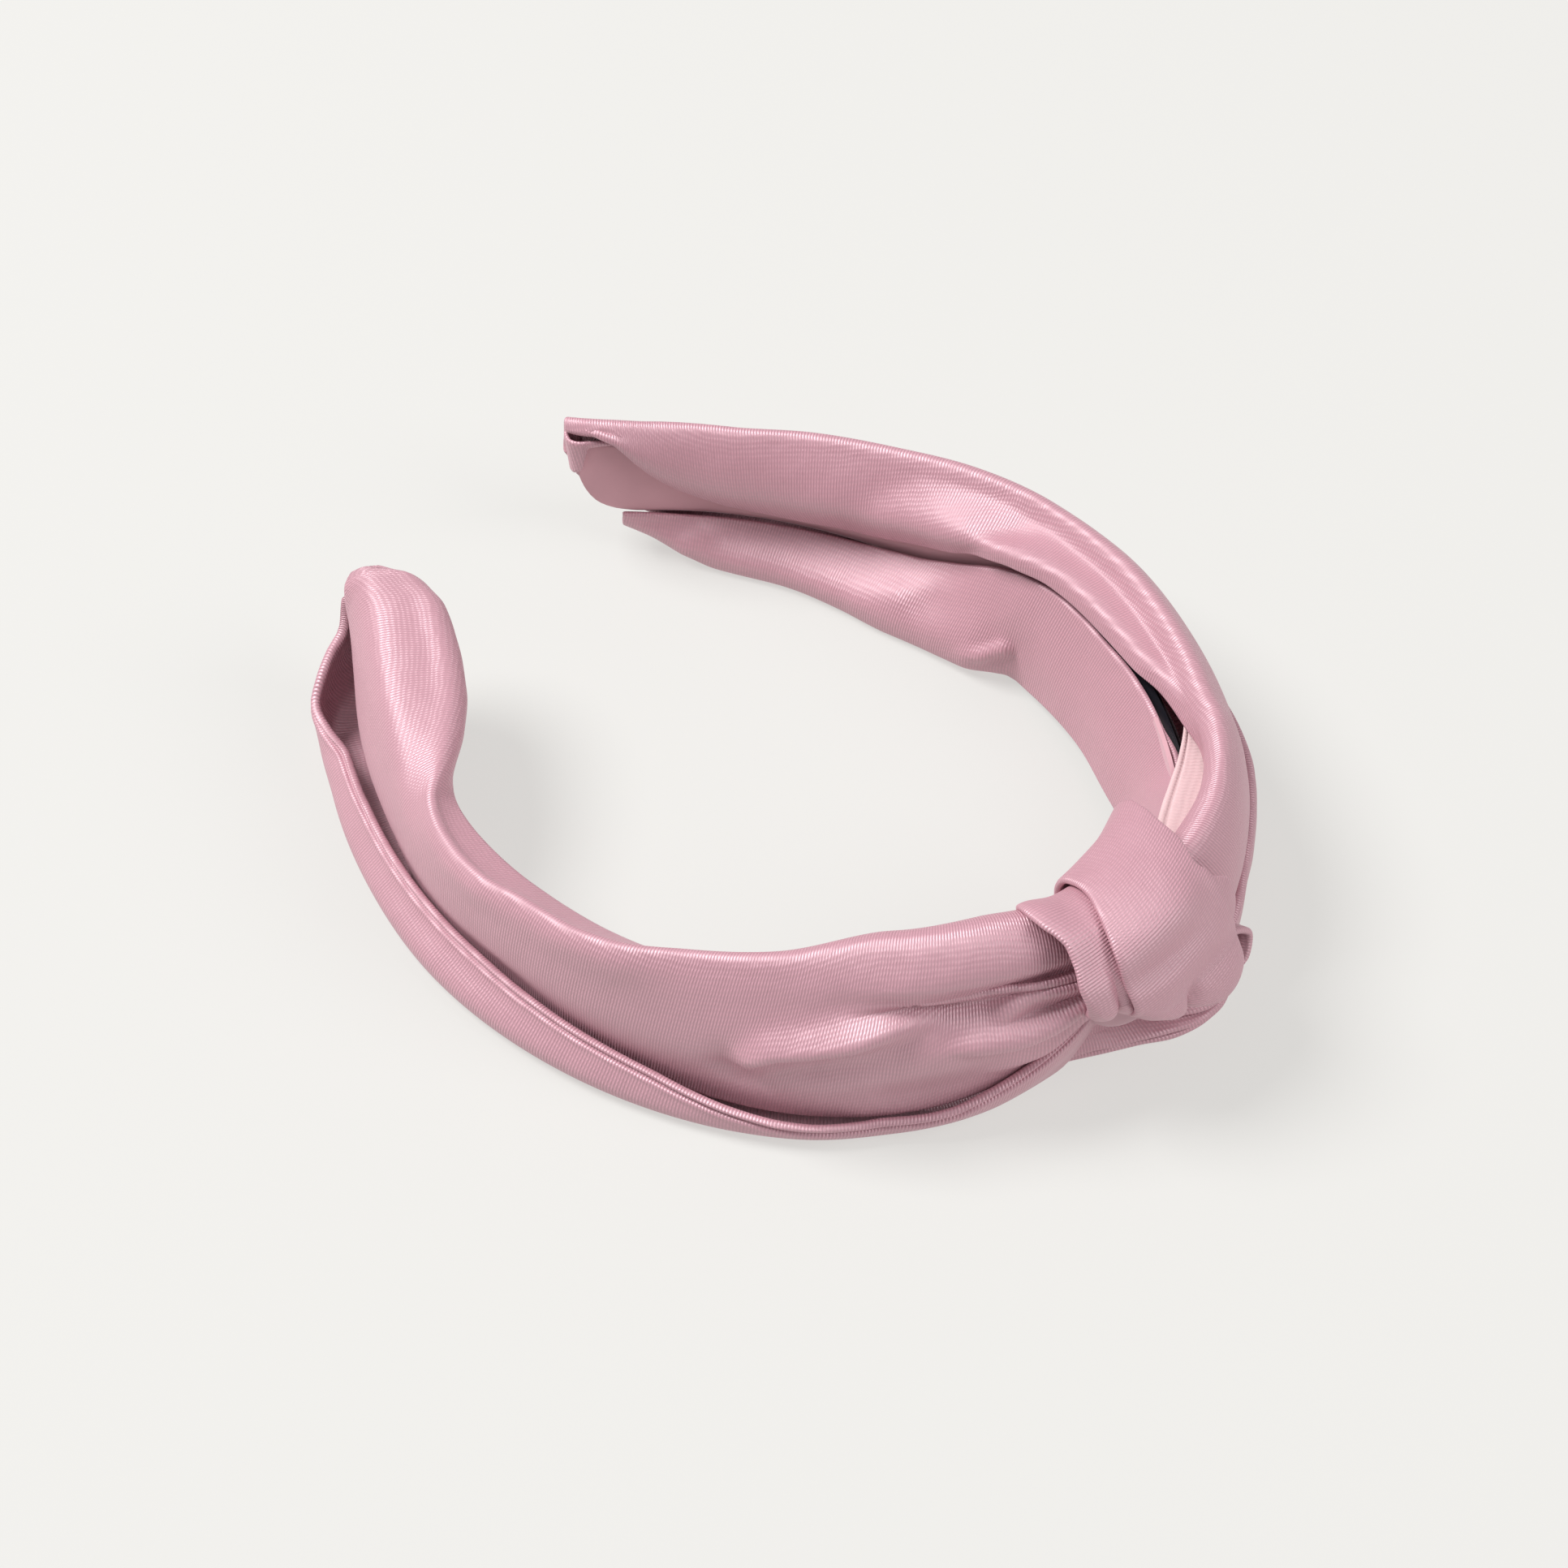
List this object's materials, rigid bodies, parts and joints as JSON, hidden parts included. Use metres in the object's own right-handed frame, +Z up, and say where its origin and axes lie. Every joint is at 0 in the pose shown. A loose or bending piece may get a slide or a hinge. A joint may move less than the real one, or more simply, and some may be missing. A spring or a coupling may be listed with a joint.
{
  "type": "knotted headband",
  "caption": "U-shaped springy headband covered in folded dusty-pink satin, with an off-centre wrapped knot, suede lining and open gathered arms.",
  "frame": {"origin": "middle of the head space, on the surface that the band lies on", "axes": "+Z up from the surface the band lies on, across the band's width; +Y from the crown towards the open tips; +X to the side where the knot sits off centre"},
  "size_m": [0.1449, 0.1743, 0.0404],
  "materials": {
    "satin": "satin weave, soft sheen",
    "lining_suede": "brushed matte",
    "binding_ribbon": "ribbed matte",
    "wadding_felt": "matte felt",
    "core_plastic": "smooth moulded"
  },
  "bodies": {
    "crown": {"binding_crown": "binding_ribbon", "core_crown": "core_plastic", "knot_back_band": "satin", "knot_heart": "satin", "knot_lower_loop": "satin", "knot_main_wrap": "satin", "knot_side_wrap": "satin", "knot_tail": "satin", "lining_crown": "lining_suede", "satin_left_root": "satin", "satin_right_root": "satin", "wadding_left_root": "wadding_felt", "wadding_right_root": "wadding_felt"},
    "left_arm": {"core_left": "core_plastic", "lining_left": "lining_suede", "satin_left_arm": "satin", "tip_fold_left": "satin", "wadding_left_arm": "wadding_felt"},
    "right_arm": {"core_right": "core_plastic", "lining_right": "lining_suede", "satin_right_arm": "satin", "tip_fold_right": "satin", "wadding_right_arm": "wadding_felt"}
  },
  "joints": [
    {"name": "left_arm_flex", "type": "hinge", "parent": "crown", "child": "left_arm", "pos_m": [-0.05389, -0.0259, 0.018], "axis": [0, 0, 1], "range_deg": [-4, 20], "stiffness_Nm_per_rad": 0.8},
    {"name": "right_arm_flex", "type": "hinge", "parent": "crown", "child": "right_arm", "pos_m": [0.05389, -0.0259, 0.018], "axis": [0, 0, -1], "range_deg": [-4, 20], "stiffness_Nm_per_rad": 0.8}
  ]
}
